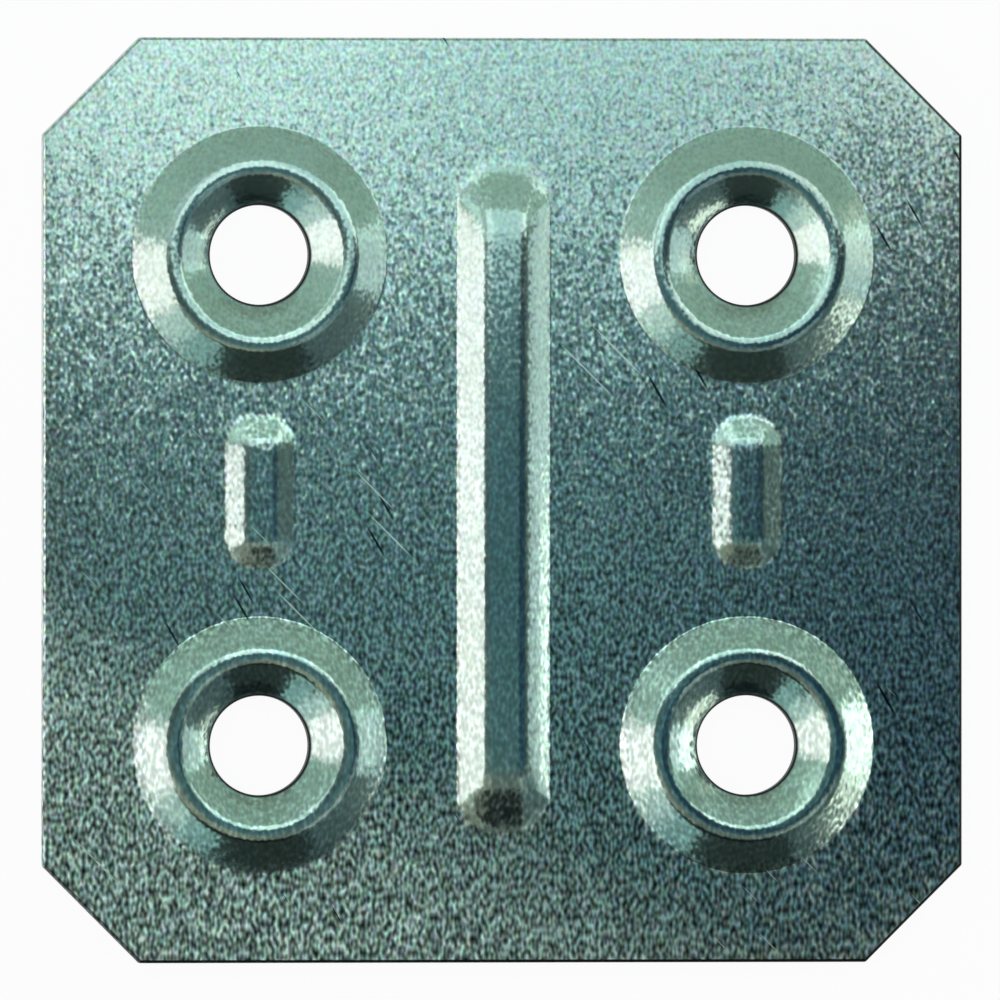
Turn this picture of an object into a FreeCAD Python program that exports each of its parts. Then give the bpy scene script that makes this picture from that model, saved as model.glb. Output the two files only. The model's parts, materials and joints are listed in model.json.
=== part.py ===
import FreeCAD, Part
import collections
import math
import os

# Joining plate: one square of sheet steel, cut and pressed in one piece. Its corners are cut off.
# Four screw holes sit in raised rings, dished in the middle for screw heads, and three raised beads
# stiffen the sheet.
# Millimetres. The origin is the middle of the underside, +Z points out of the raised face, and +Y runs
# along the long bead.

# Sheet and outline
SHEET = 0.8
PLATE_SIDE = 40.0
CORNER_CUT = 4.2
EDGE_ROLL = 0.15

# Screw holes, on a square pattern
HOLE_PITCH = 21.2
HOLE_DIAMETER = 4.3
RIM_DROP = 0.1
RIM_ROLL = 0.2
FOOT_RADIUS = 0.2

# Raised rings around the screw holes. A dish bows out a little between its rim and the crest: its bow is
# the share of the dish's length that is round.
RING_DIAMETER = 11.1
RING_CREASE = 0.2
RING_HEIGHT = 0.9
CREST_DIAMETER = 7.7
CREST_RADIUS = 0.85
CREST_INNER_RADIUS = 0.2
DISH_RADIUS = 6.0
DISH_BOW = 0.7

# Stiffening beads: a long one down the middle, and a short one between the holes on each side.
# A bead has a flat top. Its shoulder is the inside radius from the top into its sides, and its crease the
# inside radius where they leave the sheet. Its end is the length over which it slopes down to the sheet,
# with a crown radius at the top of that slope and a crease radius at its foot. Its corner is how far before
# the tip its straight sides end. The slopes would meet a little above the top, by the lift.
LONG_BEAD_LENGTH = 28.9
LONG_BEAD_WIDTH = 4.1
LONG_BEAD_HEIGHT = 0.8
LONG_BEAD_TOP = 0.95
LONG_BEAD_SHOULDER = 0.2
LONG_BEAD_CREASE = 0.2
LONG_BEAD_END = 3.3
LONG_BEAD_END_CROWN = 5.0
LONG_BEAD_END_CREASE = 3.0
LONG_BEAD_CORNER = 1.45
LONG_BEAD_LIFT = 0.02
SHORT_BEAD_LENGTH = 6.6
SHORT_BEAD_WIDTH = 3.15
SHORT_BEAD_HEIGHT = 0.45
SHORT_BEAD_TOP = 0.7
SHORT_BEAD_SHOULDER = 0.1
SHORT_BEAD_CREASE = 0.5
SHORT_BEAD_END = 1.6
SHORT_BEAD_END_CROWN = 1.9
SHORT_BEAD_END_CREASE = 0.8
SHORT_BEAD_CORNER = 1.5
SHORT_BEAD_LIFT = 0.02
SHORT_BEAD_SHIFT = 0.35

Bead = collections.namedtuple(
    "Bead", "length width height top shoulder crease end end_crown end_crease corner lift")
LONG_BEAD = Bead(
    LONG_BEAD_LENGTH, LONG_BEAD_WIDTH, LONG_BEAD_HEIGHT, LONG_BEAD_TOP, LONG_BEAD_SHOULDER, LONG_BEAD_CREASE,
    LONG_BEAD_END, LONG_BEAD_END_CROWN, LONG_BEAD_END_CREASE, LONG_BEAD_CORNER, LONG_BEAD_LIFT)
SHORT_BEAD = Bead(
    SHORT_BEAD_LENGTH, SHORT_BEAD_WIDTH, SHORT_BEAD_HEIGHT, SHORT_BEAD_TOP, SHORT_BEAD_SHOULDER,
    SHORT_BEAD_CREASE, SHORT_BEAD_END, SHORT_BEAD_END_CROWN, SHORT_BEAD_END_CREASE, SHORT_BEAD_CORNER,
    SHORT_BEAD_LIFT)

UP = FreeCAD.Vector(0, 0, 1)
ACROSS = FreeCAD.Vector(1, 0, 0)
ALONG = FreeCAD.Vector(0, 1, 0)
MIDDLE = FreeCAD.Vector()


def section_point(across, up):
    """A point of a section, which is drawn in the XZ plane."""
    return FreeCAD.Vector(across, 0, up)


def line(start, end):
    return Part.LineSegment(start, end).toShape()


def arc(start, middle, end):
    return Part.Arc(start, middle, end).toShape()


def crossing(point_a, slope_a, point_b, slope_b):
    """Where two lines of a section meet, each given by a point and its slope angle."""
    rise_a = math.tan(slope_a)
    rise_b = math.tan(slope_b)
    across = (point_b.z - point_a.z + rise_a * point_a.x - rise_b * point_b.x) / (rise_a - rise_b)
    return section_point(across, point_a.z + rise_a * (across - point_a.x))


def rounded_face(corners):
    """A section's face from (point, radius) corners, each rounded by an arc tangent to both sides."""
    bends = []
    for index, (corner, radius) in enumerate(corners):
        before = corners[index - 1][0]
        after = corners[(index + 1) % len(corners)][0]
        back = (before - corner).normalize()
        ahead = (after - corner).normalize()
        half_angle = back.getAngle(ahead) / 2
        reach = radius / math.tan(half_angle)
        inward = (back + ahead).normalize()
        depth = radius / math.sin(half_angle) - radius
        bends.append((corner + back * reach, corner + inward * depth, corner + ahead * reach))
    edges = []
    for index, (start, middle, end) in enumerate(bends):
        if corners[index][1] > 0:
            edges.append(arc(start, middle, end))
        edges.append(line(end, bends[(index + 1) % len(bends)][0]))
    return Part.Face(Part.Wire(edges))


def slope_over(run, rise, radius):
    """Slope angle of a line up to a circle that it touches, given the way from its foot to the centre."""
    return math.atan2(rise, run) + math.asin(radius / math.hypot(run, rise))


def way_to_crest(point):
    """Run and rise from a point of a ring's section to the centre of the circle of its crest."""
    return abs(CREST_DIAMETER / 2 - point.x), SHEET + RING_HEIGHT - CREST_RADIUS - point.z


def slope_to_crest(point):
    """Slope angle of the line that runs up from a point and touches the circle of a ring's crest."""
    run, rise = way_to_crest(point)
    return slope_over(run, rise, CREST_RADIUS)


def ring_skirt():
    """Radius of a ring with the narrow skirt of flat sheet around its crease."""
    return RING_DIAMETER / 2 + RING_CREASE


def dish_bend(rim):
    """The corner of the two lines that a dish's bow touches, half way from its rim to the crest.

    It stands out from the straight way by as much as an arc of the dish's radius needs.
    """
    run, rise = way_to_crest(rim)
    half_way = math.sqrt(run ** 2 + rise ** 2 - CREST_RADIUS ** 2) / 2
    slope = slope_to_crest(rim)
    ahead = section_point(math.cos(slope), math.sin(slope))
    outward = section_point(-math.sin(slope), math.cos(slope))
    return rim + ahead * half_way + outward * (DISH_BOW * half_way ** 2 / DISH_RADIUS)


def ring_solid():
    """A raised ring about the Z axis, with its dish, its hole and its skirt."""
    crease = section_point(RING_DIAMETER / 2, SHEET)
    rim = section_point(HOLE_DIAMETER / 2, SHEET - RIM_DROP)
    dish = dish_bend(rim)
    flank_slope = slope_to_crest(crease)
    crest = crossing(crease, -flank_slope, dish, slope_to_crest(dish))

    # The underside follows one sheet thickness below the raised face, straight under the dish's bow.
    under_slope = slope_to_crest(rim)
    flank_under = crease - section_point(0, SHEET / math.cos(flank_slope))
    dish_under = dish - section_point(0, SHEET / math.cos(under_slope))
    crest_under = crossing(flank_under, -flank_slope, dish_under, under_slope)
    crease_under = crossing(flank_under, -flank_slope, MIDDLE, 0)
    foot = crossing(dish_under, under_slope, MIDDLE, 0)

    face = rounded_face([
        (section_point(HOLE_DIAMETER / 2, 0), 0),
        (rim, RIM_ROLL),
        (dish, DISH_RADIUS),
        (crest, CREST_RADIUS),
        (crease, RING_CREASE),
        (section_point(ring_skirt(), SHEET), 0),
        (section_point(ring_skirt(), 0), 0),
        (crease_under, RING_CREASE + SHEET),
        (crest_under, CREST_INNER_RADIUS),
        (foot, FOOT_RADIUS),
    ])
    return face.revolve(MIDDLE, UP, 360)


def arch_half_face(half_width, height, crown_radius, crease_radius, skirt, inset):
    """Half of the section under an arch, from its middle out to the flat beyond its crease.

    The crown is round, the flank straight and the crease round. The arch and the flat are moved in from
    the raised face by the inset, which is the sheet's thickness for the underside.
    """
    slope = slope_over(half_width, height - crown_radius, crown_radius)
    lean = section_point(math.sin(slope), math.cos(slope))
    half_lean = section_point(math.sin(slope / 2), math.cos(slope / 2))

    crown = crown_radius - inset
    crown_centre = section_point(0, SHEET + height - crown_radius)
    top = crown_centre + UP * crown
    crown_end = crown_centre + lean * crown

    crease = crease_radius + inset
    crease_centre = section_point(half_width + crease_radius * math.tan(slope / 2), SHEET + crease_radius)
    crease_start = crease_centre - lean * crease
    crease_end = crease_centre - UP * crease

    flat_end = section_point(skirt, SHEET - inset)
    foot_end = section_point(skirt, -SHEET)
    foot = section_point(0, -SHEET)
    edges = [
        arc(top, crown_centre + half_lean * crown, crown_end),
        line(crown_end, crease_start),
        arc(crease_start, crease_centre - half_lean * crease, crease_end),
        line(crease_end, flat_end),
        line(flat_end, foot_end),
        line(foot_end, foot),
        line(foot, top),
    ]
    return Part.Face(Part.Wire(edges))


def bead_skirt(bead):
    """Half the width and half the length of a bead with the narrow skirt of flat sheet around it."""
    slope = slope_over(bead.end, bead.height + bead.lift - bead.end_crown, bead.end_crown)
    soft_foot = bead.end_crease * math.tan(slope / 2)
    return bead.width / 2 + bead.crease, bead.length / 2 + soft_foot + bead.crease


def bead_plug(bead):
    """The block of flat sheet that a bead is pressed from."""
    x, y = bead_skirt(bead)
    return Part.makeBox(2 * x, 2 * y, SHEET, FreeCAD.Vector(-x, -y, 0))


def upright_block(x, y, height):
    """A block over the inner corner of a bead's quarter, from well below the sheet up to a height."""
    return Part.makeBox(x, y, SHEET + height, FreeCAD.Vector(0, 0, -SHEET))


def arch_across(bead, inset):
    """A quarter of the solid under a bead's straight arch: half its flat top, and one side."""
    half_top = bead.top / 2
    x, y = bead_skirt(bead)
    side = arch_half_face(
        bead.width / 2 - half_top, bead.height, bead.shoulder + SHEET, bead.crease, x - half_top, inset)
    flank = side.extrude(ALONG * y).translated(ACROSS * half_top)
    return upright_block(half_top, y, SHEET + bead.height - inset).fuse(flank)


def arch_along(bead, inset):
    """A quarter of the solid under a bead's sloping ends.

    The slope runs straight beside the flat top, round the corner on an ellipse, and straight along the
    side, where it lies above the arch.
    """
    half_top = bead.top / 2
    half_run = bead.length / 2 - bead.end
    flat_share = 1 - bead.corner / bead.end
    end_width = (bead.width / 2 - half_top) / math.sqrt(1 - flat_share ** 2)
    skirt = bead.end + bead.width
    height = bead.height + bead.lift
    slope = arch_half_face(bead.end, height, bead.end_crown, bead.end_crease, skirt, inset)
    far = ALONG * half_run

    narrowing = FreeCAD.Matrix()
    narrowing.A11 = end_width / bead.end
    corner = slope.revolve(MIDDLE, UP, 90).translated(far)
    side = slope.extrude(far)
    round_side = corner.fuse(side).transformGeometry(narrowing).translated(ACROSS * half_top)
    end = slope.rotated(MIDDLE, UP, 90).extrude(ACROSS * half_top).translated(far)
    top = upright_block(half_top, half_run, SHEET + height - inset)
    return top.fuse([end, round_side])


def pressed_bead(bead):
    """A bead: the lower of the arch across it and its ends' slopes, hollow by one sheet thickness."""
    raised = arch_across(bead, 0).common(arch_along(bead, 0))
    hollow = arch_across(bead, SHEET).common(arch_along(bead, SHEET))
    quarter = raised.cut(hollow)
    half = quarter.fuse(quarter.mirror(MIDDLE, ACROSS))
    return half.fuse(half.mirror(MIDDLE, ALONG)).removeSplitter()


def blank():
    """The flat sheet before pressing: a square with cut corners, its upper edge rolled by the cutting."""
    half = PLATE_SIDE / 2
    short = half - CORNER_CUT
    outline = [
        (half, -short), (half, short), (short, half), (-short, half),
        (-half, short), (-half, -short), (-short, -half), (short, -half),
    ]
    points = [FreeCAD.Vector(x, y, 0) for x, y in outline]
    flat = Part.Face(Part.makePolygon(points + points[:1])).extrude(UP * SHEET)
    upper_edges = [edge for edge in flat.Edges if min(v.Z for v in edge.Vertexes) > SHEET / 2]
    return flat.makeFillet(EDGE_ROLL, upper_edges)


def joining_plate():
    """The blank with each pressing in place of the flat sheet that it was drawn from."""
    half_pitch = HOLE_PITCH / 2
    plugs = []
    pressings = []
    for x in (-half_pitch, half_pitch):
        for y in (-half_pitch, half_pitch):
            place = FreeCAD.Vector(x, y, 0)
            plugs.append(Part.makeCylinder(ring_skirt(), SHEET, place))
            pressings.append(ring_solid().translated(place))
    plugs.append(bead_plug(LONG_BEAD))
    pressings.append(pressed_bead(LONG_BEAD))
    for x in (-half_pitch, half_pitch):
        place = FreeCAD.Vector(x, SHORT_BEAD_SHIFT, 0)
        plugs.append(bead_plug(SHORT_BEAD).translated(place))
        pressings.append(pressed_bead(SHORT_BEAD).translated(place))
    return blank().cut(plugs).fuse(pressings).removeSplitter()


def main():
    os.makedirs("parts", exist_ok=True)
    plate = joining_plate()
    if not plate.isValid() or len(plate.Solids) != 1:
        raise RuntimeError("the plate is not one sound solid")
    plate.Solids[0].exportStep("parts/joining_plate.step")


main()
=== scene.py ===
import json
import math
from collections import namedtuple
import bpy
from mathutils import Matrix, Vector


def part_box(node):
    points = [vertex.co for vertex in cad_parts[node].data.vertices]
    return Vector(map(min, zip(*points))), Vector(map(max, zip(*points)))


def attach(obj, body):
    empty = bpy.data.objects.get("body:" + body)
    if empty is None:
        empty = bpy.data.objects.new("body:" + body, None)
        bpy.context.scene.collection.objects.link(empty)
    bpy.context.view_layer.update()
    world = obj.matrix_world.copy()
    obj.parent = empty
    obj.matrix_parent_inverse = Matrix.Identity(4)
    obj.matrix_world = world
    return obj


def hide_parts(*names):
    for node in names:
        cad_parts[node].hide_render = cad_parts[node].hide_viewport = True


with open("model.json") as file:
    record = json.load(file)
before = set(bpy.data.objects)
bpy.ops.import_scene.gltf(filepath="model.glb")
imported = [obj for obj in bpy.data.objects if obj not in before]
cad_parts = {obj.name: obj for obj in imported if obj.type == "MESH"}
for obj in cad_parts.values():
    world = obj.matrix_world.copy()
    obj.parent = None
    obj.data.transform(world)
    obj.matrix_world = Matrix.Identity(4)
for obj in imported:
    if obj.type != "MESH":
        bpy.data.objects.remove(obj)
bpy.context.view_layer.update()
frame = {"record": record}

from types import SimpleNamespace

import bmesh
import bpy
import numpy as np
from mathutils import Vector

bl_info = {
    "name": "Pressed joining plate",
    "version": (1, 0, 0),
    "blender": (4, 5, 0),
    "location": "View3D > Sidebar > Joining plate",
    "description": "Builds a zinc plated joining plate with dished holes and beads, and its stage",
    "category": "Object",
}

# The plate's names in the frame, its box there, and the pattern of its holes
NODE = "joining_plate"
BODY = "root"
LOW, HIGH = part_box(NODE)
PATTERN = next(m["dims"] for m in frame["record"]["mounts"] if m["kind"] == "bolt_pattern")

# Lengths are worked out in millimetres and put into the mesh in metres.
MM = 0.001


def to_linear(hex_colour):
    """Linear red, green and blue of an sRGB hex colour, by the two parts of the sRGB curve."""
    srgb = np.array([int(hex_colour[i:i + 2], 16) for i in (0, 2, 4)]) / 255
    linear = np.where(srgb <= 0.04045, srgb / 12.92, ((srgb + 0.055) / 1.055) ** 2.4)
    return tuple(float(channel) for channel in linear)


def length(name, millimetres, description):
    """A length that a user can change, given in millimetres."""
    return bpy.props.FloatProperty(
        name=name, description=description, default=millimetres * MM, min=0, precision=5, unit="LENGTH")


def colour(name, hex_colour, description):
    """A colour that a user can change."""
    return bpy.props.FloatVectorProperty(
        name=name, description=description, default=to_linear(hex_colour),
        size=3, min=0, max=1, subtype="COLOR")


def amount(name, default, description):
    """A plain number that a user can change."""
    return bpy.props.FloatProperty(name=name, description=description, default=default, min=0)


class PlateSizes(bpy.types.PropertyGroup):
    """Sizes of the plate and of its mesh."""
    side: length("Side", (HIGH.x - LOW.x) / MM, "Side of the square plate")
    sheet: length("Sheet", 0.8, "Thickness of the sheet")
    corner_cut: length("Corner cut", 4.2, "Leg of each cut corner")
    edge_roll: length("Edge roll", 0.15, "Radius to which the cutting tool rolled the upper edge")
    edge_break: length("Edge break", 0.05, "Radius of the lower edge")
    crease_radius: length("Crease", 0.2, "Inside radius where a pressing leaves the flat sheet")
    hole_pitch: length("Hole pitch", PATTERN["spacing_x_mm"], "Distance between neighbouring holes")
    hole_diameter: length("Hole", 2 * PATTERN["hole_r_mm"], "Diameter of a screw hole")
    rim_drop: length("Rim drop", 0.1, "How far a hole's rim lies below the raised face")
    rim_roll: length("Rim roll", 0.2, "Radius of a hole's rim")
    dish_radius: length("Dish radius", 6.0, "Radius of a dish's bow")
    foot_radius: length("Foot", 0.2, "Radius under a dish, where it leaves the flat around the hole")
    ring_diameter: length("Ring", 11.1, "Diameter of a raised ring at its crease")
    ring_height: length("Ring height", 0.9, "Height of a ring above the sheet")
    crest_diameter: length("Crest", 7.7, "Diameter of a ring's crest")
    crest_radius: length("Crest radius", 0.85, "Radius of a ring's crest")
    crest_inner_radius: length("Crest inside", 0.2, "Radius under a ring's crest")
    long_length: length("Long bead", 28.9, "Length of the long bead")
    long_width: length("Long bead width", 4.1, "Width of the long bead")
    long_height: length("Long bead height", 0.8, "Height of the long bead")
    long_top: length("Long bead top", 0.95, "Width of the flat along the long bead's top")
    long_shoulder: length("Long bead shoulder", 1.0, "Radius from the long bead's top into its sides")
    long_crease: length("Long bead crease", 0.2, "Inside radius where its sides leave the sheet")
    long_end: length("Long bead end", 3.3, "Length over which the long bead's ends slope down")
    long_end_crown: length("Long bead end crown", 5.0, "Radius from an end's slope into the top")
    long_end_crease: length("Long bead end crease", 3.0, "Inside radius where an end leaves the sheet")
    long_corner: length("Long bead corner", 1.45, "How far before its tips the straight sides end")
    long_lift: length("Long bead lift", 0.02, "How far above the top the ends' slopes would meet")
    long_swell: length("Long bead swell", 0.03, "How far the long bead's sides swell out")
    long_hip: length("Long bead hips", 0.4, "How far the hips between sides and ends are rounded down")
    short_length: length("Short bead", 6.6, "Length of a short bead")
    short_width: length("Short bead width", 3.15, "Width of a short bead")
    short_height: length("Short bead height", 0.45, "Height of a short bead")
    short_top: length("Short bead top", 0.7, "Width of the flat along a short bead's top")
    short_shoulder: length("Short bead shoulder", 0.9, "Radius from a short bead's top into its sides")
    short_crease: length("Short bead crease", 0.5, "Inside radius where its sides leave the sheet")
    short_end: length("Short bead end", 1.6, "Length over which a short bead's ends slope down")
    short_end_crown: length("Short bead end crown", 1.9, "Radius from an end's slope into the top")
    short_end_crease: length("Short bead end crease", 0.8, "Inside radius where an end leaves the sheet")
    short_corner: length("Short bead corner", 1.5, "How far before its tips the straight sides end")
    short_lift: length("Short bead lift", 0.02, "How far above the top the ends' slopes would meet")
    short_swell: length("Short bead swell", 0.0, "How far a short bead's sides swell out")
    short_hip: length("Short bead hips", 0.12, "How far the hips between sides and ends are rounded down")
    short_shift: length("Short bead shift", 0.35, "How far the short beads sit above the middle")
    mesh_step: length("Mesh step", 0.4, "Spacing of the mesh's rays along the plate's outline")


class PlateFinish(bpy.types.PropertyGroup):
    """Colours and grain of the zinc and of the cut steel."""
    zinc: colour("Zinc", "B8C8C6", "Bright zinc under a clear blue-green passivation")
    stain: colour("Stain", "A4B39E", "Faint olive stain on the pressings")
    scratch: colour("Scratch", "2A3438", "Dark hairline scratches")
    scrape: colour("Scrape", "DCE4E2", "Light scrapes")
    # Dark colour of the holes' rims, and painted shade along the edges that face right and down
    sheared: colour("Sheared steel", "26292B", "Bare steel along the torn edges and in the holes")
    grain: length("Grain", 0.158, "Width of one facet of the zinc's speckle")
    grain_tilt: amount("Grain tilt", 0.25, "How far the facets lean away from the flat sheet")
    rubbed_tilt: amount("Rubbed grain tilt", 1.0, "The same towards the rubbed corner")
    pressed_tilt: amount("Pressed grain tilt", 0.12, "The same on the pressings, which the tool burnished")
    speckle: amount("Speckle", 0.55, "How far the facets differ in brightness near the upper edge")
    # Near the lower edge the speckle's bright flecks are partly painted glints
    worn_speckle: amount("Worn speckle", 2.4, "The same near the lower edge, which is worn")
    fleck: length("Flecks", 0.3, "Size of the flecks of hue")
    hue_speckle: amount("Hue speckle", 0.36, "How far the flecks differ in hue")
    burnish: amount("Burnish", 0.65, "Share of the speckle that the press wiped off the pressings")
    patch: length("Patches", 4.0, "Size of the stain's patches")
    roughness: amount("Roughness", 0.26, "Roughness of the flat sheet")
    rubbed_roughness: amount("Rubbed roughness", 0.6, "Roughness of the rubbed corner")
    pressed_roughness: amount("Pressed roughness", 0.18, "Roughness of the pressings")
    scrape_roughness: amount("Scrape roughness", 0.55, "Roughness of the light scrapes")
    # Roughness of the holes' dark rims and of the edges painted with shade
    sheared_roughness: amount("Sheared roughness", 0.5, "Roughness of the cut steel")


class StageLook(bpy.types.PropertyGroup):
    """Camera, floor and lights."""
    lean: bpy.props.FloatProperty(
        name="Lean", description="How far the camera leans to the left of straight above",
        default=math.radians(6.5), subtype="ANGLE")
    distance: length("Distance", 1200, "Distance from the plate to the camera")
    picture_width: length("Picture width", 43.25, "Width of what the picture shows at the plate")
    floor: colour("Floor", "F7F7F7", "Pale studio floor")
    floor_gap: length("Floor gap", 0.02, "How far the floor lies below the plate, so that no faces coincide")
    floor_glow: amount("Floor glow", 0.95, "Share of the floor's white that no shadow darkens")
    surroundings: colour("Surroundings", "10181C", "Dim room around the softboxes")


def in_millimetres(group):
    """The lengths of a property group, in millimetres."""
    return SimpleNamespace(**{name: getattr(group, name) / MM for name in group.__annotations__})


def slope_over(run, rise, radius):
    """Slope angle of a line up to a circle that it touches, given the way from its foot to the centre."""
    return math.atan2(rise, run) + math.asin(radius / math.hypot(run, rise))


def crossing(point_a, slope_a, point_b, slope_b):
    """Where two lines of a section meet, each given by a point and its slope angle."""
    rise_a = math.tan(slope_a)
    rise_b = math.tan(slope_b)
    across = (point_b[1] - point_a[1] + rise_a * point_a[0] - rise_b * point_b[0]) / (rise_a - rise_b)
    return across, point_a[1] + rise_a * (across - point_a[0])


def rounded_corner(before, corner, after, radius, steps):
    """Points of the arc that rounds a corner.

    Its centre lies on the corner's bisector, radius / sin(half the corner's angle) away, and the points turn
    evenly about it from one tangent point to the other.
    """
    before, corner, after = (np.asarray(point, float) for point in (before, corner, after))
    back = (before - corner) / np.linalg.norm(before - corner)
    ahead = (after - corner) / np.linalg.norm(after - corner)
    half_angle = math.acos(back @ ahead) / 2
    reach = radius / math.tan(half_angle)
    inward = (back + ahead) / np.linalg.norm(back + ahead)
    centre = corner + inward * radius / math.sin(half_angle)
    turn = math.pi - 2 * half_angle
    share = np.linspace(0, 1, steps + 1)[:, None]
    start = np.sin((1 - share) * turn) * (corner + back * reach - centre)
    end = np.sin(share * turn) * (corner + ahead * reach - centre)
    return centre + (start + end) / math.sin(turn)


def between(start, end, shares):
    """Points on the line from start to end at the given shares of its length."""
    start, end = np.asarray(start, float), np.asarray(end, float)
    return start + np.asarray(shares)[:, None] * (end - start)


# Stations near both ends of a straight run, which keep the shading of its bends to the bends
RUN_ENDS = (0.06, 0.5, 0.94)

# Steps in which the mesh turns round a ring's bends, its tight bends, a hole's rim and a crest
BEND_STEPS = 6
TIGHT_STEPS = 4
RIM_STEPS = 7
CREST_STEPS = 14

# Share of a dish's length that its bow takes
DISH_BOW = 0.7

# How far out a hole's rim is dark, and from where it has the zinc's colour, as shares of the rim's radius
RIM_DARK = 1 / 3
RIM_ZINC = 2 / 3


def ring_section(s):
    """A ring's section as (radius, height) points, how far each was pressed, and how far each is dark at the
    rim.

    The path starts on the underside at the skirt, follows the underside to the hole, goes up the hole's
    wall and follows the dish, the crest and the flank out to the skirt again: straight lines, each corner
    rounded. The dish bends half way from the rim to the crest.
    """
    hole = s.hole_diameter / 2
    skirt = s.ring_diameter / 2 + s.crease_radius
    crease = (s.ring_diameter / 2, s.sheet)
    rim = (hole, s.sheet - s.rim_drop)
    crest_run = s.crest_diameter / 2
    crest_rise = s.sheet + s.ring_height - s.crest_radius
    flank_slope = slope_over(crease[0] - crest_run, crest_rise - crease[1], s.crest_radius)
    under_slope = slope_over(crest_run - rim[0], crest_rise - rim[1], s.crest_radius)
    half_way = math.sqrt((crest_run - rim[0]) ** 2 + (crest_rise - rim[1]) ** 2 - s.crest_radius ** 2) / 2
    bulge = DISH_BOW * half_way ** 2 / s.dish_radius
    dish = (rim[0] + half_way * math.cos(under_slope) - bulge * math.sin(under_slope),
            rim[1] + half_way * math.sin(under_slope) + bulge * math.cos(under_slope))
    outer_slope = slope_over(crest_run - dish[0], crest_rise - dish[1], s.crest_radius)
    crest = crossing(crease, -flank_slope, dish, outer_slope)
    flank_under = (crease[0], crease[1] - s.sheet / math.cos(flank_slope))
    dish_under = (dish[0], dish[1] - s.sheet / math.cos(under_slope))
    crest_under = crossing(flank_under, -flank_slope, dish_under, under_slope)
    crease_under = crossing(flank_under, -flank_slope, (0, 0), 0)
    foot = crossing(dish_under, under_slope, (0, 0), 0)
    corners = [
        ((skirt, 0), 0, 0),
        (crease_under, s.crease_radius + s.sheet, BEND_STEPS),
        (crest_under, s.crest_inner_radius, BEND_STEPS),
        (foot, s.foot_radius, TIGHT_STEPS),
        ((hole, 0), s.edge_break, TIGHT_STEPS),
        (rim, s.rim_roll, RIM_STEPS),
        (dish, s.dish_radius, BEND_STEPS),
        (crest, s.crest_radius, CREST_STEPS),
        (crease, s.crease_radius, BEND_STEPS),
        ((skirt, s.sheet), 0, 0),
    ]
    path = [np.array([corners[0][0]])]
    for before, (corner, radius, steps), after in zip(corners, corners[1:-1], corners[2:]):
        bend = rounded_corner(before[0], corner, after[0], radius, steps)
        path.append(between(path[-1][-1], bend[0], RUN_ENDS))
        path.append(bend)
    path.append(np.array([corners[-1][0]]))
    points = np.concatenate(path)
    pressed = np.clip((crease[0] - points[:, 0]) / s.crease_radius, 0, 1)
    off_wall = (points[:, 0] - hole) / s.rim_roll
    cut = np.clip((RIM_ZINC - off_wall) / (RIM_ZINC - RIM_DARK), 0, 1)
    return points, pressed, cut


def arch_height(s, distance, half_width, height, crown_radius, crease_radius, inset, swell=0):
    """Height of an arch over the floor at distances from its middle.

    A circle at the crown, a straight flank that touches it, a circle at the crease that touches the flank
    and the flat, and the flat. All of it is moved in by the inset, which underneath is the thickness of the
    sheet. The flank swells out by the squared sine of the way along it.
    """
    slope = slope_over(half_width, height - crown_radius, crown_radius)
    crown = crown_radius - inset
    crown_rise = s.sheet + height - crown_radius
    crease = crease_radius + inset
    crease_run = half_width + crease_radius * math.tan(slope / 2)
    crease_rise = s.sheet + crease_radius
    on_crown = crown_rise + np.sqrt(np.maximum(crown ** 2 - distance ** 2, 0))
    flank_start = crown * math.sin(slope)
    flank_end = crease_run - crease * math.sin(slope)
    share = np.clip((distance - flank_start) / (flank_end - flank_start), 0, 1)
    swelling = swell * np.sin(math.pi * share) ** 2
    on_flank = crown_rise + crown / math.cos(slope) - distance * math.tan(slope) + swelling
    on_crease = crease_rise - np.sqrt(np.maximum(crease ** 2 - (crease_run - distance) ** 2, 0))
    zones = [
        distance < flank_start,
        distance < flank_end,
        distance < crease_run,
    ]
    return np.select(zones, [on_crown, on_flank, on_crease], s.sheet - inset)


# A hip's rounding is full where the hip lies this many roundings above the floor
FULL_HIP = 4

# Least value that a way is divided by, so that nothing is divided by zero
LEAST = 1e-9


def softer_lower(height_a, height_b, floor, rounding):
    """The lower of two heights, with the hip between them rounded.

    Where the heights differ by less than the rounding, the lower one sinks by a quarter of the rounding
    times the square of their nearness. The rounding fades out towards the floor.
    """
    lower = np.minimum(height_a, height_b)
    width = rounding * np.clip((lower - floor) / (FULL_HIP * rounding), 0, 1) + LEAST
    nearness = np.maximum(width - np.abs(height_a - height_b), 0) / width
    return lower - nearness ** 2 * width / 4


# A bead: its middle, half its width, the half axes of its ends' ellipses in plan and the middle of one of
# them, the last point of the spine that the mesh's rays start from, how far its top is burnished, and its
# height as a function of x, y and the inset
Bead = namedtuple("Bead", "middle half_width end_axes end_middle spine burnish height")

# How far the press burnished the tops of the beads, where their sides and ends count as one
TOP_BURNISH = {"long_": 0.9, "short_": 0.4}


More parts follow.
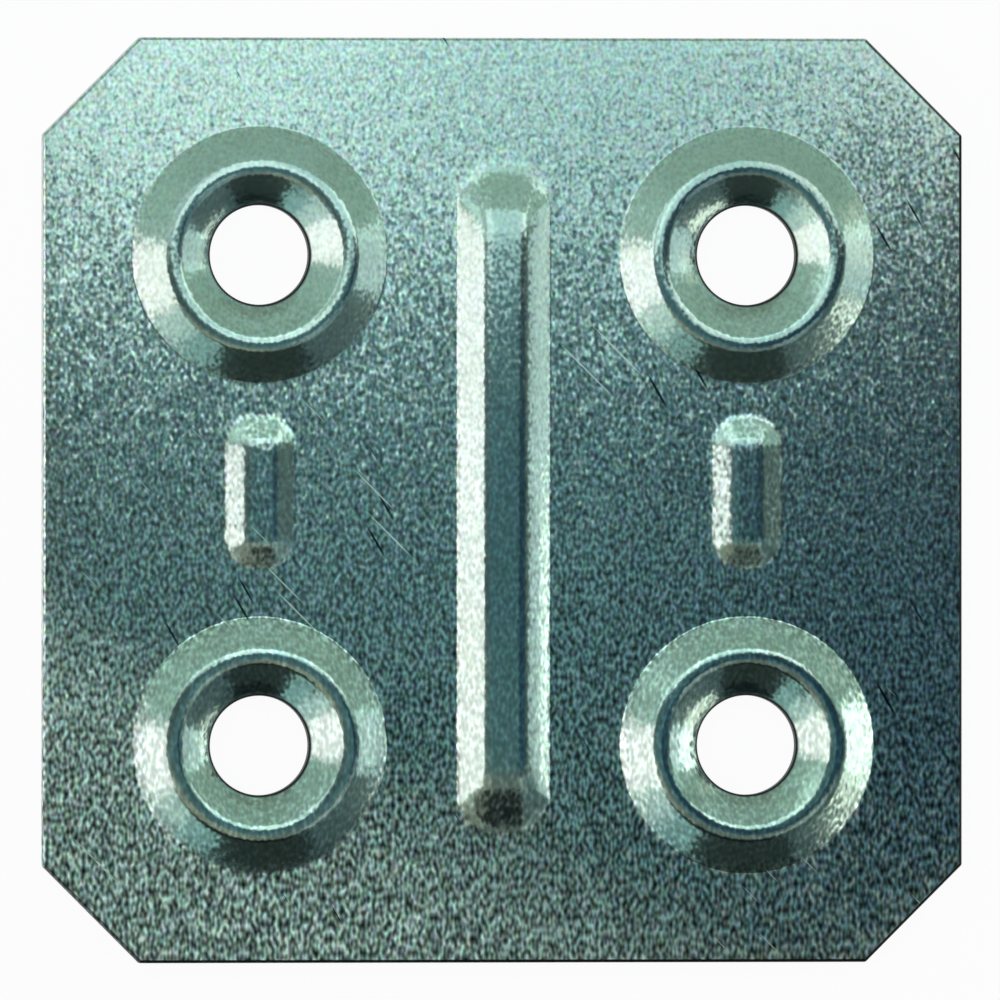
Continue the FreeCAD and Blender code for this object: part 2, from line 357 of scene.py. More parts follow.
def bead(s, kind, middle):
    """A bead, whose height is the lower of an arch across it and an arch along it.

    Both have flat tops. The one along it is as high at a distance beside the flat top as further out on the
    axis, at the same share of the half axes of an ellipse, which rounds the bead's ends in plan.
    """
    sizes = {name.removeprefix(kind): size for name, size in vars(s).items() if name.startswith(kind)}
    b = SimpleNamespace(**sizes)
    half_width = b.width / 2
    half_top = b.top / 2
    half_run = b.length / 2 - b.end
    end_width = (half_width - half_top) / math.sqrt(1 - (1 - b.corner / b.end) ** 2)

    def height(x, y, inset):
        beside = np.maximum(np.abs(x) - half_top, 0)
        beyond = np.maximum(np.abs(y) - half_run, 0)
        outward = np.hypot(beside * b.end / end_width, beyond)
        across = arch_height(
            s, beside, half_width - half_top, b.height, b.shoulder, b.crease, inset, b.swell)
        along = arch_height(
            s, outward, b.end, b.height + b.lift, b.end_crown, b.end_crease, inset)
        return softer_lower(across, along, s.sheet - inset, b.hip)

    spine = b.length / 2 - half_width
    end_axes = (end_width, b.end)
    end_middle = (half_top, half_run)
    return Bead(middle, half_width, end_axes, end_middle, spine, TOP_BURNISH[kind], height)


def along_polygon(corners, step):
    """Points along a closed polygon, each side divided evenly into parts no longer than the step."""
    corners = np.asarray(corners, float)
    sides = zip(corners, np.roll(corners, -1, axis=0))
    return np.concatenate([along_side(start, end, step)[:-1] for start, end in sides])


# Digits that count when a side is divided, so that rounding faults don't add a part
STEP_DIGITS = 6


def along_side(start, end, step):
    """Points from start to end, both included, in even parts no longer than the step."""
    count = math.ceil(round(np.linalg.norm(end - start) / step, STEP_DIGITS))
    return between(start, end, np.linspace(0, 1, count + 1))


def grid_faces(rows, columns, first):
    """Corner numbers of a grid's quads, counted row after row from first; the last row meets the first."""
    row = np.arange(rows)[:, None]
    column = np.arange(columns - 1)[None, :]
    after = (row + 1) % rows
    corners = [row * columns + column, row * columns + column + 1,
               after * columns + column + 1, after * columns + column]
    return np.stack(np.broadcast_arrays(*corners), axis=-1).reshape(-1, len(corners)) + first


# Stations of a cell from the crease out to its border, as shares of that way: their count, and the power
# that draws them closer to the crease
OUTWARD_COUNT = 8
OUTWARD_POWER = 1.5
OUTWARD = np.linspace(0, 1, OUTWARD_COUNT + 1)[1:] ** OUTWARD_POWER


def ring_cell(s, middle, border):
    """A ring in its cell: rays from the ring's middle to the cell's border, with the section along each ray.

    A point is the middle plus its ray's direction times its radius. Beyond the skirt the radius grows to the
    border's distance.
    """
    section, *finish = ring_section(s)
    rays = border - middle
    distance = np.linalg.norm(rays, axis=1)[:, None]
    way = rays / distance
    skirt = section[0, 0]
    flat = skirt + (distance - skirt) * OUTWARD
    bent = np.broadcast_to(section[:, 0], (len(rays), len(section)))
    radius = np.concatenate([flat[:, ::-1], bent, flat], axis=1)
    level = np.concatenate([np.zeros(len(OUTWARD)), section[:, 1], np.full(len(OUTWARD), s.sheet)])
    pressed, cut = (np.pad(share, len(OUTWARD)) for share in finish)
    x = middle[0] + way[:, :1] * radius
    y = middle[1] + way[:, 1:] * radius
    return np.stack(np.broadcast_arrays(x, y, level, pressed, cut), axis=-1)


# Stations of a bead's cell: shares of the way from its spine to the crease, and millimetres about the crease
BEAD_INWARD = np.array([0, 0.12, 0.24, 0.29, 0.34, 0.39, 0.44, 0.49, 0.54, 0.6, 0.73, 0.86])
BEAD_CREASE = np.array([-0.2, -0.1, -0.06, -0.03, 0, 0.03, 0.06, 0.1, 0.2, 0.35])


def bead_cell(s, bead, border, inset):
    """One side of a bead in its cell: rays from the bead's spine to the cell's border.

    Each ray starts at the spine's nearest point to its border point. It meets the crease at the straight
    side, at the tip or at the ellipse between them, and its points lie at shares of that way, close about
    the crease, and on to the border. Their height is the bead's.
    """
    rays = border - bead.middle
    start = np.stack([np.zeros(len(rays)), np.clip(rays[:, 1], -bead.spine, bead.spine)], axis=1)
    span = rays - start
    distance = np.linalg.norm(span, axis=1)[:, None]
    way = span / distance
    half_axes = np.array(bead.end_axes)
    ahead = np.maximum(np.abs(start[:, 1]) - bead.end_middle[1], 0)
    begin = np.stack([np.full(len(rays), -bead.end_middle[0]), ahead], axis=1) / half_axes
    heading = np.abs(way) / half_axes
    squares = (heading ** 2).sum(axis=1)
    lean = (begin * heading).sum(axis=1)
    rest = (begin ** 2).sum(axis=1) - 1
    to_ellipse = (np.sqrt(np.maximum(lean ** 2 - squares * rest, 0)) - lean) / squares
    to_tip = (1 - begin[:, 1]) / np.maximum(heading[:, 1], LEAST)
    to_side = bead.half_width / np.maximum(np.abs(way[:, 0]), LEAST)
    to_end = np.where(to_ellipse * np.abs(way[:, 0]) > bead.end_middle[0], to_ellipse, to_tip)
    crease = np.minimum(to_end, to_side)[:, None]
    inner = (crease + BEAD_CREASE[0]) * BEAD_INWARD
    outer = crease + BEAD_CREASE[-1]
    radius = np.concatenate([inner, crease + BEAD_CREASE, outer + (distance - outer) * OUTWARD], axis=1)
    x = start[:, :1] + way[:, :1] * radius
    y = start[:, 1:] + way[:, 1:] * radius
    z = bead.height(x, y, inset)
    half_top, half_run = bead.end_middle
    beside = np.maximum(np.abs(x), np.abs(y) - half_run) / half_top
    burnish = bead.burnish + (1 - bead.burnish) * np.clip(beside - 1, 0, 1)
    pressed = burnish * np.clip((crease - radius) / s.crease_radius, 0, 1)
    return np.stack(np.broadcast_arrays(x + bead.middle[0], y + bead.middle[1], z, pressed, 0), axis=-1)


# The way, right and down, that the edges face where painted shade darkens them, how far an edge has to face
# it, how soon it is all dark, and how far out over the roll the dark is full. The other edges keep the zinc.
EDGE_SHADE_WAY = (1.0, -1.0)
EDGE_SHADE_FROM = -0.2
EDGE_SHADE_RISE = 4.0
EDGE_SHADE_OUT = 0.25

# Points of the cut edge: round a corner of the outline, over the roll, down the wall and round the break
CORNER_POINTS = 5
ROLL_POINTS = 7
WALL_POINTS = 4
BREAK_POINTS = 4

# Least turn that makes a corner, in radians
LEAST_TURN = 1e-6


def edge_strip(s, corners, step):
    """The cut edge all round the plate, from the raised face over the roll and down to the underside.

    It starts from the outline moved in by the roll. A point goes outwards along its side's normal, or along
    normals that turn evenly at a corner, by the sine of the roll's angle, and down by one less its cosine.
    The more its normal faces right and down, the more of it is painted dark, as painted shade.
    """
    following = np.roll(corners, -1, axis=0)
    before = corners - np.roll(corners, 1, axis=0)
    after = following - corners
    before_angle = np.arctan2(-before[:, 0], before[:, 1])
    change = np.arctan2(-after[:, 0], after[:, 1]) - before_angle
    turns = (change + math.pi) % (2 * math.pi) - math.pi
    places = []
    angles = []
    for corner, end, start_angle, turn in zip(corners, following, before_angle, turns):
        fan_points = CORNER_POINTS if abs(turn) > LEAST_TURN else 1
        fan = start_angle + turn * np.linspace(0, 1, fan_points)
        side = along_side(corner, end, step)[1:-1]
        places.append(np.concatenate([np.repeat(corner[None], len(fan), axis=0), side]))
        angles.append(np.concatenate([fan, np.full(len(side), fan[-1])]))
    place = np.concatenate(places)
    angle = np.concatenate(angles)
    outward = np.stack([np.cos(angle), np.sin(angle)], axis=1)
    roll = np.linspace(0, math.pi / 2, ROLL_POINTS)
    break_turn = np.linspace(0, math.pi / 2, BREAK_POINTS)
    out = np.concatenate([
        s.edge_roll * np.sin(roll), np.full(WALL_POINTS, s.edge_roll),
        s.edge_roll - s.edge_break * (1 - np.cos(break_turn)), [0]])
    wall = np.linspace(s.sheet - s.edge_roll, s.edge_break, WALL_POINTS + 2)[1:-1]
    level = np.concatenate([
        s.sheet - s.edge_roll * (1 - np.cos(roll)), wall, s.edge_break * (1 - np.sin(break_turn)), [0]])
    spread = place[:, None, :] + outward[:, None, :] * out[None, :, None]
    # Painted shade: the edges that face right and down are painted dark
    painted_edge_shade = np.clip(EDGE_SHADE_RISE * (outward @ EDGE_SHADE_WAY - EDGE_SHADE_FROM), 0, 1)
    cut = painted_edge_shade[:, None] * np.clip(out / (EDGE_SHADE_OUT * s.edge_roll), 0, 1)
    return np.stack(np.broadcast_arrays(spread[..., 0], spread[..., 1], level, 0, cut), axis=-1)


def plate_cells(s):
    """Corners of the plate's cells and of its outline, moved in by the edge's roll.

    The columns part half way from the long bead to the rings, and the outer ones part again half way from
    the short bead to the rings. A cut corner runs at 45 degrees between the points half and short.
    """
    half = s.side / 2 - s.edge_roll
    short = s.side / 2 - s.corner_cut + s.edge_roll * (1 - math.sqrt(2))
    column = s.long_width / 2 + (s.hole_pitch - s.ring_diameter - s.long_width) / 4
    ring_edge = (s.hole_pitch - s.ring_diameter) / 2
    high = (ring_edge + s.short_length / 2 + s.short_shift) / 2
    low = (ring_edge + s.short_length / 2 - s.short_shift) / 2
    rings = {}
    for side in (-1, 1):
        for end, split in ((-1, low), (1, high)):
            corner = [(column, split), (half, split), (half, short), (short, half), (column, half)]
            rings[side, end] = np.array(corner) * (side, end)
    shorts = {side: np.array([(column, -low), (half, -low), (half, high), (column, high)]) * (side, 1)
              for side in (-1, 1)}
    middle = np.array([(column, -half), (column, -low), (column, high), (column, half),
                       (-column, half), (-column, high), (-column, -low), (-column, -half)])
    outline = np.array([(half, -short), (half, -low), (half, high), (half, short),
                        (short, half), (column, half), (-column, half), (-short, half),
                        (-half, short), (-half, high), (-half, -low), (-half, -short),
                        (-short, -half), (-column, -half), (column, -half), (short, -half)])
    return rings, shorts, middle, outline


def plate_mesh(s):
    """The whole sheet as one closed mesh: its cells, each a grid of rays and stations, and its cut edge.

    A grid's points hold x, y, z, how far the sheet is pressed there, and how far it is painted dark: painted
    shade on the edges that face right and down, and the dark rims of the holes.
    """
    rings, shorts, middle, outline = plate_cells(s)
    half_pitch = s.hole_pitch / 2
    grids = []
    for (side, end), corners in rings.items():
        place = np.array([side * half_pitch, end * half_pitch])
        grids.append(ring_cell(s, place, along_polygon(corners, s.mesh_step)))
    beads = [(bead(s, "long_", (0, 0)), middle)]
    for side, corners in shorts.items():
        beads.append((bead(s, "short_", (side * half_pitch, s.short_shift)), corners))
    for pressing, corners in beads:
        for inset in (0, s.sheet):
            grids.append(bead_cell(s, pressing, along_polygon(corners, s.mesh_step), inset))
    grids.append(edge_strip(s, outline, s.mesh_step))

    points = np.concatenate([grid.reshape(-1, grid.shape[-1]) for grid in grids])
    firsts = np.cumsum([0] + [grid[..., 0].size for grid in grids])
    faces = np.concatenate([grid_faces(*grid.shape[:2], first) for grid, first in zip(grids, firsts)])

    mesh = bpy.data.meshes.new("pressed_sheet")
    mesh.vertices.add(len(points))
    mesh.vertices.foreach_set("co", (points[:, :3] * MM).ravel())
    mesh.loops.add(faces.size)
    mesh.loops.foreach_set("vertex_index", faces.ravel())
    mesh.polygons.add(len(faces))
    mesh.polygons.foreach_set("loop_start", np.arange(0, faces.size, faces.shape[1]))
    mesh.update(calc_edges=True)
    for name, shares in (("pressed", points[:, 3]), ("dark_rim_and_painted_edge_shade", points[:, 4])):
        mesh.attributes.new(name, "FLOAT", "POINT").data.foreach_set("value", shares)
    close_mesh(mesh)
    return mesh


# Points of neighbouring cells that lie closer than this are one point.
WELD = 2e-4 * MM


def close_mesh(mesh):
    """Joins the cells at their common borders, turns all faces outwards and shades them smooth."""
    work = bmesh.new()
    work.from_mesh(mesh)
    bmesh.ops.remove_doubles(work, verts=work.verts, dist=WELD)
    bmesh.ops.recalc_face_normals(work, faces=work.faces)
    open_edges = [edge for edge in work.edges if not edge.is_manifold]
    work.to_mesh(mesh)
    work.free()
    if open_edges:
        raise RuntimeError(f"the sheet is not closed: {len(open_edges)} open edges")
    mesh.shade_smooth()


def add_node(tree, kind, inputs=None, **settings):
    """Adds a node with its settings. An input is a value, or another node's socket to link from."""
    made = tree.nodes.new(kind)
    for name, value in settings.items():
        setattr(made, name, value)
    for name, value in (inputs or {}).items():
        if isinstance(value, bpy.types.NodeSocket):
            tree.links.new(value, made.inputs[name])
        else:
            made.inputs[name].default_value = value
    return made


# Sockets of a Mix node that mixes colours, several of which have the same name
MIX_FACTOR, MIX_A, MIX_B = 0, 6, 7
MIX_RESULT = 2

# Mean of Blender's noise
NOISE_MEAN = 0.5

# How far y counts in the grain's noise, where less than one draws the grain out along the long bead, and how
# that changes per metre of y
GRAIN_SHARE = 0.68
GRAIN_SHARE_CHANGE = 4.0

# Where along y the speckle begins to deepen and is deepest, in metres. Its bright flecks there are
# partly painted glints.
DEEP_SPECKLE_FROM = 0.015
DEEP_SPECKLE_TO = -0.014

# Painted shade: where along y the zinc's colour begins to darken and is darkest, in metres, and its
# brightness there. Brighter panels above the front make up for it.
PAINTED_SHADE_FROM = -0.001
PAINTED_SHADE_TO = -0.013
PAINTED_SHADE_LEVEL = 0.75

# Seed that sets the brightness of the facets apart from their lean
BRIGHT_SEED = 7.0

# Detail and seed of the stain's patches, where in their noise the stain begins and is full, and its share
STAIN_DETAIL = 2.0
STAIN_SEED = 5.0
STAIN_FROM = 0.4
STAIN_TO = 0.7
STAIN_SHARE = 0.25

# The way to the rubbed corner, and where the rubbing begins and is full along it, in metres
RUBBED_WAY = (-0.5, -1.0, 0.0)
RUBBED_FROM = 0.013
RUBBED_TO = 0.021

# The turn of scratches, the length and width in millimetres of the patch that each has to itself, the share
# of patches that have none, and the largest share of its patch that a scratch reaches to either side
Scratches = namedtuple("Scratches", "turn along across bare reach")
HAIRLINES = Scratches(math.radians(-60), 16.0, 1.0, 0.5, 0.07)
SCRAPES = Scratches(math.radians(-45), 30.0, 0.8, 0.5, 0.06)

# How steeply a scratch deepens from its outline
SCRATCH_CORE = 2.5


def scratch_lines(tree, place, lines):
    """Straight scratches that run one way and taper at both ends.

    The sheet is parted into long patches. Some of them hold a scratch: a thin ellipse about a random point,
    as long and as thin as the patch is, and up to a certain share of it.
    """
    laid = add_node(tree, "ShaderNodeMapping", {
        "Vector": place, "Rotation": (0, 0, lines.turn), "Scale": (lines.along * MM, lines.across * MM, 1)},
        vector_type="TEXTURE").outputs["Vector"]
    patches = add_node(tree, "ShaderNodeTexVoronoi", {"Vector": laid, "Scale": 1.0}, voronoi_dimensions="2D")
    chance = add_node(tree, "ShaderNodeSeparateXYZ", {"Vector": patches.outputs["Color"]}).outputs["X"]
    reach = add_node(tree, "ShaderNodeMapRange", {
        "Value": chance, "From Min": lines.bare, "To Max": lines.reach}).outputs["Result"]
    depth = add_node(tree, "ShaderNodeMapRange", {
        "Value": patches.outputs["Distance"], "From Min": reach, "From Max": 0.0, "To Max": SCRATCH_CORE})
    return depth.outputs["Result"]


def zinc_plated_steel(finish):
    """Bright zinc on cold rolled sheet steel, pressed after rolling and passivated.

    The zinc shows a fine speckle of facets that each lean their own way, so that each catches a different
    part of the room, and that differ in brightness and hue. Towards the lower edge the speckle deepens,
    with bright flecks that are partly painted glints, and the zinc's colour is painted darker, a painted
    shade that brighter panels above the front make up for. Towards one corner it is rubbed rough. The
    press has burnished the rings and beads and left a faint olive stain there. Straight hairline scratches
    and light scrapes cross the flat sheet. The holes' rims are dark, the edges that face right and down are
    painted dark as painted shade, and the other edges keep the zinc.
    """
    material = bpy.data.materials.new("bright_zinc_on_pressed_sheet_steel")
    material.use_nodes = True
    tree = material.node_tree
    tree.nodes.clear()
    place = add_node(tree, "ShaderNodeTexCoord").outputs["Object"]
    pressed = add_node(tree, "ShaderNodeAttribute", attribute_name="pressed").outputs["Fac"]
    # Share of painted shade on the edges that face right and down, and of the holes' dark rims
    cut = add_node(tree, "ShaderNodeAttribute", attribute_name="dark_rim_and_painted_edge_shade").outputs["Fac"]

    # The place along the rolled grain
    axes = add_node(tree, "ShaderNodeSeparateXYZ", {"Vector": place}).outputs
    drawn = add_node(tree, "ShaderNodeMath", {
        0: axes["Y"], 1: GRAIN_SHARE_CHANGE, 2: GRAIN_SHARE}, operation="MULTIPLY_ADD")
    along = add_node(tree, "ShaderNodeMath", {0: axes["Y"], 1: drawn.outputs[0]}, operation="MULTIPLY")
    rolled = add_node(tree, "ShaderNodeCombineXYZ", {
        "X": axes["X"], "Y": along.outputs[0], "Z": axes["Z"]}).outputs["Vector"]

    # The sheet is rubbed towards one corner
    toward = add_node(tree, "ShaderNodeVectorMath", {0: place, 1: RUBBED_WAY}, operation="DOT_PRODUCT")
    rubbed = add_node(tree, "ShaderNodeMapRange", {
        "Value": toward.outputs["Value"], "From Min": RUBBED_FROM, "From Max": RUBBED_TO}).outputs["Result"]

    # Facets that lean, each its own way
    facets = add_node(tree, "ShaderNodeTexNoise", {
        "Vector": rolled, "Scale": 1 / finish.grain, "Detail": 0.0})
    lean = add_node(tree, "ShaderNodeVectorMath", {
        0: facets.outputs["Color"], 1: (NOISE_MEAN,) * 3}, operation="SUBTRACT")
    tilt = finish.grain_tilt
    for share, over in ((rubbed, finish.rubbed_tilt), (pressed, finish.pressed_tilt)):
        tilt = add_node(tree, "ShaderNodeMapRange", {
            "Value": share, "To Min": tilt, "To Max": over}).outputs["Result"]
    leaning = add_node(tree, "ShaderNodeVectorMath", {
        0: lean.outputs["Vector"], "Scale": tilt}, operation="SCALE")
    facing = add_node(tree, "ShaderNodeNewGeometry").outputs["Normal"]
    tilted = add_node(tree, "ShaderNodeVectorMath", {
        0: leaning.outputs["Vector"], 1: facing}, operation="ADD")
    facet = add_node(tree, "ShaderNodeVectorMath", {0: tilted.outputs["Vector"]}, operation="NORMALIZE")

    # Facets that differ in brightness, more towards the lower edge, where bright flecks are partly
    # painted glints and painted shade darkens the zinc; and larger flecks of hue
    bright = add_node(tree, "ShaderNodeTexNoise", {
        "Vector": rolled, "Scale": 1 / finish.grain, "Detail": 0.0, "W": BRIGHT_SEED}, noise_dimensions="4D")
    fleck = add_node(tree, "ShaderNodeMath", {
        0: bright.outputs["Fac"], 1: 1 / NOISE_MEAN}, operation="MULTIPLY")
    # The speckle deepens towards the lower edge: the zinc's grain, with bright flecks that are partly
    # painted glints
    depth = add_node(tree, "ShaderNodeMapRange", {
        "Value": axes["Y"], "From Min": DEEP_SPECKLE_FROM, "From Max": DEEP_SPECKLE_TO,
        "To Min": finish.speckle, "To Max": finish.worn_speckle})
    contrast = add_node(tree, "ShaderNodeMath", {
        0: fleck.outputs[0], 1: depth.outputs["Result"]}, operation="POWER")
    # Painted shade: the zinc is darker towards the lower edge, and brighter panels above the front make up
    # for it
    painted_shade = add_node(tree, "ShaderNodeMapRange", {
        "Value": axes["Y"], "From Min": PAINTED_SHADE_FROM, "From Max": PAINTED_SHADE_TO, "To Min": 1.0, "To Max": PAINTED_SHADE_LEVEL})
    brightness = add_node(tree, "ShaderNodeMath", {
        0: contrast.outputs[0], 1: painted_shade.outputs["Result"]}, operation="MULTIPLY")
    hue = add_node(tree, "ShaderNodeTexNoise", {"Vector": rolled, "Scale": 1 / finish.fleck, "Detail": 0.0})
    hues = add_node(tree, "ShaderNodeVectorMath", {
        0: hue.outputs["Color"], 1: (finish.hue_speckle,) * 3,
        2: (1 - finish.hue_speckle * NOISE_MEAN,) * 3}, operation="MULTIPLY_ADD")
    speckle = add_node(tree, "ShaderNodeVectorMath", {
        0: hues.outputs["Vector"], "Scale": brightness.outputs[0]}, operation="SCALE")
    speckled = add_node(tree, "ShaderNodeVectorMath", {
        0: speckle.outputs["Vector"], 1: finish.zinc}, operation="MULTIPLY")

    # Scratches, which stop at the pressings
    flat = add_node(tree, "ShaderNodeMath", {0: 1.0, 1: pressed}, operation="SUBTRACT").outputs[0]
    hairlines, scrapes = (
        add_node(tree, "ShaderNodeMath", {
            0: scratch_lines(tree, place, lines), 1: flat}, operation="MULTIPLY").outputs[0]
        for lines in (HAIRLINES, SCRAPES))

    # The burnished pressings lose most of the speckle and take the stain, the holes' rims go dark, and the
    # edges that face right and down take painted shade
    burnish = add_node(tree, "ShaderNodeMath", {0: pressed, 1: finish.burnish}, operation="MULTIPLY")
    patches = add_node(tree, "ShaderNodeTexNoise", {
        "Vector": place, "Scale": 1 / finish.patch, "Detail": STAIN_DETAIL, "W": STAIN_SEED},
        noise_dimensions="4D")
    patch = add_node(tree, "ShaderNodeMapRange", {
        "Value": patches.outputs["Fac"], "From Min": STAIN_FROM, "From Max": STAIN_TO,
        "To Max": STAIN_SHARE})
    stain = add_node(tree, "ShaderNodeMath", {0: patch.outputs["Result"], 1: pressed}, operation="MULTIPLY")
    base = speckled.outputs["Vector"]
    for share, over in (
            (burnish.outputs[0], finish.zinc), (stain.outputs[0], finish.stain), (hairlines, finish.scratch),
            (scrapes, finish.scrape), (cut, finish.sheared)):
        mixed = add_node(tree, "ShaderNodeMix", {
            MIX_FACTOR: share, MIX_A: base, MIX_B: (*over, 1)}, data_type="RGBA")
        base = mixed.outputs[MIX_RESULT]

    rough = finish.roughness
    for share, over in (
            (rubbed, finish.rubbed_roughness), (pressed, finish.pressed_roughness),
            (scrapes, finish.scrape_roughness), (cut, finish.sheared_roughness)):
        rough = add_node(tree, "ShaderNodeMapRange", {
            "Value": share, "To Min": rough, "To Max": over}).outputs["Result"]
    shader = add_node(tree, "ShaderNodeBsdfPrincipled", {
        "Base Color": base, "Metallic": 1.0, "Roughness": rough, "Normal": facet.outputs["Vector"]})
    add_node(tree, "ShaderNodeOutputMaterial", {"Surface": shader.outputs["BSDF"]})
    return material


class PLATE_OT_pressed_sheet(bpy.types.Operator):
    """Build the pressed sheet with its rings, dishes, holes and beads, in place of the plain solid"""
    bl_idname = "plate.pressed_sheet"
    bl_label = "Pressed sheet"

    def execute(self, context):
        sizes = in_millimetres(context.scene.plate_sizes)
        mesh = plate_mesh(sizes)
        mesh.materials.append(zinc_plated_steel(context.scene.plate_finish))
        sheet = bpy.data.objects.new("pressed_sheet", mesh)
        context.scene.collection.objects.link(sheet)
        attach(sheet, BODY)
        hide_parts(NODE)
        return {"FINISHED"}


def floor_material(look):
    """Matt white floor, mostly bright of itself to the eye and to gloss, so that its shadows are faint."""
    material = bpy.data.materials.new("matt_white_floor")
    material.use_nodes = True
    tree = material.node_tree
    tree.nodes.clear()
    matt = add_node(tree, "ShaderNodeBsdfDiffuse", {"Color": (*look.floor, 1)})
    glow = add_node(tree, "ShaderNodeEmission", {"Color": (1, 1, 1, 1), "Strength": 1.0})
    ray = add_node(tree, "ShaderNodeLightPath").outputs
    seen = add_node(tree, "ShaderNodeMath", {
        0: ray["Is Camera Ray"], 1: ray["Is Glossy Ray"]}, operation="ADD")
    shown = add_node(tree, "ShaderNodeMath", {
        0: seen.outputs[0], 1: ray["Is Transmission Ray"]}, operation="ADD", use_clamp=True)
    share = add_node(tree, "ShaderNodeMath", {0: shown.outputs[0], 1: look.floor_glow}, operation="MULTIPLY")
    mix = add_node(tree, "ShaderNodeMixShader", {
        "Fac": share.outputs[0], 1: matt.outputs["BSDF"], 2: glow.outputs["Emission"]})
    add_node(tree, "ShaderNodeOutputMaterial", {"Surface": mix.outputs["Shader"]})
    return material


Softbox = namedtuple("Softbox", "name centre facing size radiance tint")

# The room, in millimetres: how far off its walls are, how far right its cards stand, how high its ceiling is
WALLS = 300
CARD = 40
CEILING = 50


def wall(name, azimuth, spread, top, bottom, radiance, tint):
    """A softbox on the walls, by its azimuth, its spread and its angles from straight above, in degrees."""
    turn = math.radians(azimuth)
    high, low = (WALLS / math.tan(math.radians(angle)) for angle in (top, bottom))
    centre = (WALLS * math.cos(turn), WALLS * math.sin(turn), (high + low) / 2)
    width = 2 * WALLS * math.tan(math.radians(spread / 2))
    return Softbox(name, centre, (0, 0, centre[2]), (width, high - low), radiance, tint)


def ceiling(name, x_from, x_to, y_from, y_to, radiance, tint):
    """A softbox close above the plate, by its edges."""
    centre = ((x_from + x_to) / 2, (y_from + y_to) / 2, CEILING)
    return Softbox(name, centre, (*centre[:2], 0), (x_to - x_from, y_to - y_from), radiance, tint)


def card(name, y_from, y_to, top, radiance, tint):
    """A low softbox that stands on the floor on the right, by its ends and its top."""
    centre = (CARD, (y_from + y_to) / 2, top / 2)
    return Softbox(name, centre, (0, *centre[1:]), (y_to - y_from, top), radiance, tint)


# The softboxes. Each is plain; together they give the metal what it mirrors.
SOFTBOXES = (
    # A tall window on the left turns the left flanks white, and falls off towards the front.
    wall("window_left", 190, 40, 36, 88, 1.38, "FFFBF5"),
    wall("window_left_front", 220, 20, 50, 88, 0.75, "E3FFF6"),
    wall("window_front", 240, 20, 55, 88, 0.48, "CAFFF8"),
    # Grey-green walls behind fill the upper flanks and the lower halves of the dishes.
    wall("wall_left", 150, 40, 40, 88, 0.52, "D8FFEC"),
    wall("wall_behind", 90, 80, 29, 72, 0.46, "D8FFEA"),
    wall("wall_behind_low", 90, 80, 72, 88, 0.3, "E4FFE2"),
    wall("wall_behind_right", 30, 40, 38, 88, 0.44, "D8FFE8"),
    # Walls and a small high window on the right light the right flanks and the left halves of the dishes.
    wall("wall_right_high", 0, 40, 46, 60, 0.11, "D8FFF4"),
    wall("wall_right", 0, 30, 60, 84, 0.75, "E5FFF8"),
    wall("wall_front_right", 325, 50, 40, 80, 0.12, "D1FFFE"),
    wall("window_high_right", 318, 30, 25, 40, 0.25, "E5FFFA"),
    # A dim wall in front keeps the lower flanks from going black.
    wall("wall_front", 272, 50, 50, 72, 0.035, "D8FFE8"),
    # Low cards on the right light the steepest right flanks.
    card("card_right", 8, 24, 12, 0.25, "FFF0D0"),
    card("card_right_front", -45, 0, 12, 1.4, "F8FFEA"),
    # Panels close above give the flat sheet its tones: bright at the back, darkest on the right.
    ceiling("above_left", -50, -20, 12, 42, 0.6, "E6FFF9"),
    ceiling("above_back_left", -20, 0, 11, 42, 1.2, "E6FFF8"),
    ceiling("above_back", 0, 20, 11, 42, 0.84, "DAFFFC"),
    ceiling("above_back_right", 20, 50, 16.5, 42, 1.0, "EEFFF8"),
    ceiling("above_middle_left", -50, -15, -7, 12, 0.09, "C8FAF8"),
    ceiling("above_middle", -15, 15, -7, 11, 0.145, "A4F2FF"),
    ceiling("above_middle_right", 15, 50, -7, 10, 0.055, "60C8FF"),
    ceiling("above_low_left", -50, -15, -20, -7, 0.18, "D0FAF0"),
    ceiling("above_low", -15, 15, -20, -7, 0.2, "B4F6FA"),
    ceiling("above_low_right", 15, 50, -20, -7, 0.085, "68CCFF"),
    ceiling("above_front_left", -50, -5, -45, -20, 0.33, "F4FFE4"),
    ceiling("above_front_right", -5, 50, -45, -20, 0.19, "EAFFF0"),
)


# Energy per square metre of a lamp's face that gives it a radiance of one
LAMP_ENERGY = 4


def add_softbox(context, box):
    """A rectangular lamp that faces a point, with its radiance over its whole face."""
    light = bpy.data.lights.new(box.name, "AREA")
    light.shape = "RECTANGLE"
    light.size = box.size[0] * MM
    light.size_y = box.size[1] * MM
    light.energy = box.radiance * light.size * light.size_y * LAMP_ENERGY
    light.color = to_linear(box.tint)
    lamp = bpy.data.objects.new(box.name, light)
    lamp.location = Vector(box.centre) * MM
    lamp.rotation_mode = "QUATERNION"
    lamp.rotation_quaternion = (Vector(box.facing) - Vector(box.centre)).to_track_quat("-Z", "Y")
    lamp.visible_camera = False
    context.scene.collection.objects.link(lamp)


# Half the floor's side and how far the camera sees, in metres, and the point it looks at, in millimetres
FLOOR_HALF = 2.0
CAMERA_REACH = 10.0
CAMERA_AIM = (-0.152, 0.009, 0.8)


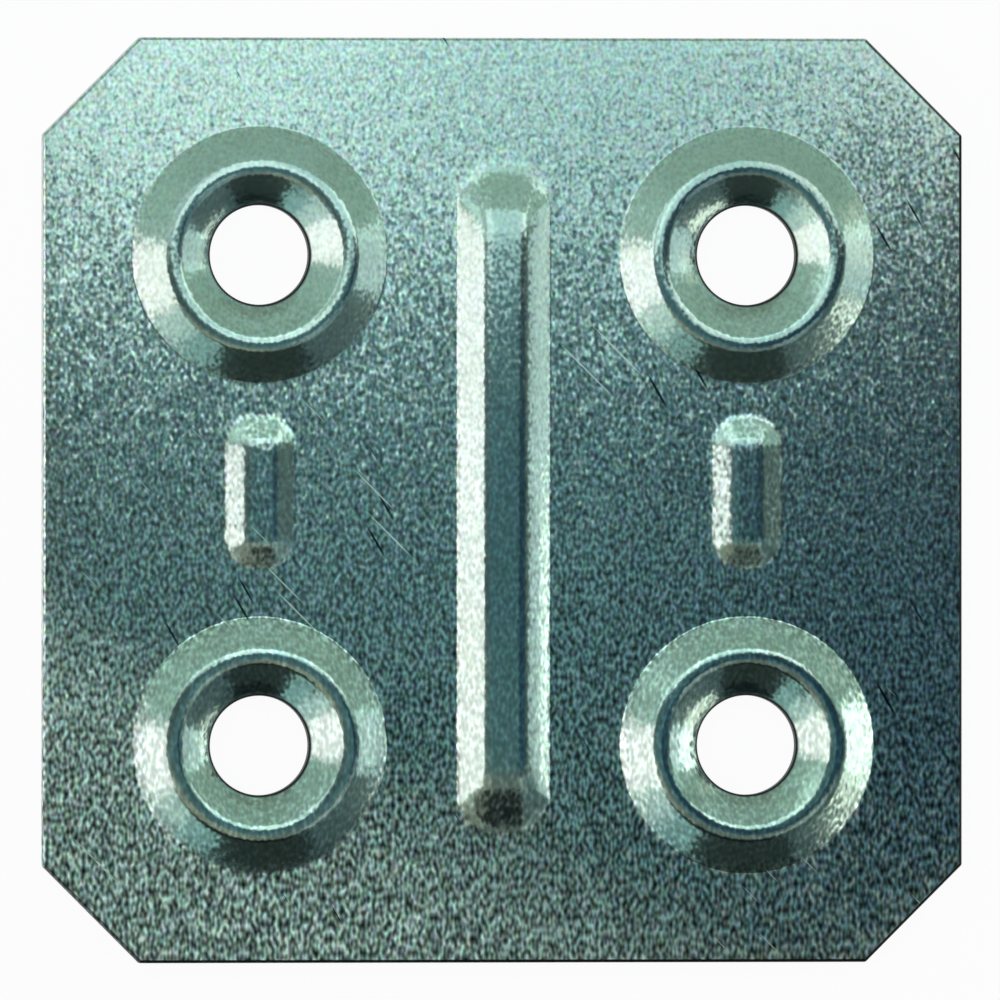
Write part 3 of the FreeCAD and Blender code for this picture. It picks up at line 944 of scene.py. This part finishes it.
class PLATE_OT_stage(bpy.types.Operator):
    """Set up the floor, the softboxes, the dim room and the camera above the plate"""
    bl_idname = "plate.stage"
    bl_label = "Stage"

    def execute(self, context):
        scene = context.scene
        look = scene.plate_stage
        scene.view_settings.view_transform = "Standard"

        world = bpy.data.worlds.new("dim_room")
        world.use_nodes = True
        scene.world = world
        world.node_tree.nodes["Background"].inputs["Color"].default_value = (*look.surroundings, 1)

        quarters = ((-1, -1), (1, -1), (1, 1), (-1, 1))
        corners = [(x * FLOOR_HALF, y * FLOOR_HALF, -look.floor_gap) for x, y in quarters]
        mesh = bpy.data.meshes.new("floor")
        mesh.from_pydata(corners, [], [(0, 1, 2, 3)])
        mesh.materials.append(floor_material(look))
        floor = bpy.data.objects.new("floor", mesh)
        scene.collection.objects.link(floor)

        for box in SOFTBOXES:
            add_softbox(context, box)

        camera_data = bpy.data.cameras.new("camera")
        camera_data.lens = camera_data.sensor_width * look.distance / look.picture_width
        camera_data.clip_end = CAMERA_REACH
        camera = bpy.data.objects.new("camera", camera_data)
        target = Vector(CAMERA_AIM) * MM
        camera.location = target + Vector((-math.sin(look.lean), 0, math.cos(look.lean))) * look.distance
        camera.rotation_euler = (0, -look.lean, 0)
        scene.collection.objects.link(camera)
        scene.camera = camera
        return {"FINISHED"}


class PLATE_PT_panel(bpy.types.Panel):
    """Lists the plate's sizes, its finish, the stage and their operators"""
    bl_idname = "PLATE_PT_panel"
    bl_label = "Joining plate"
    bl_space_type = "VIEW_3D"
    bl_region_type = "UI"
    bl_category = "Joining plate"

    def draw(self, context):
        for group in (context.scene.plate_sizes, context.scene.plate_finish, context.scene.plate_stage):
            box = self.layout.box()
            for name in group.__annotations__:
                box.prop(group, name)
        for operator in OPERATORS:
            self.layout.operator(operator.bl_idname)


OPERATORS = (PLATE_OT_pressed_sheet, PLATE_OT_stage)
GROUPS = {"plate_sizes": PlateSizes, "plate_finish": PlateFinish, "plate_stage": StageLook}


def register():
    for kind in (*GROUPS.values(), *OPERATORS, PLATE_PT_panel):
        bpy.utils.register_class(kind)
    for name, group in GROUPS.items():
        setattr(bpy.types.Scene, name, bpy.props.PointerProperty(type=group))


def unregister():
    for name in GROUPS:
        delattr(bpy.types.Scene, name)
    for kind in (PLATE_PT_panel, *reversed(OPERATORS), *reversed(GROUPS.values())):
        bpy.utils.unregister_class(kind)


def main():
    register()
    bpy.ops.plate.pressed_sheet()
    bpy.ops.plate.stage()


if __name__ == "__main__":
    main()
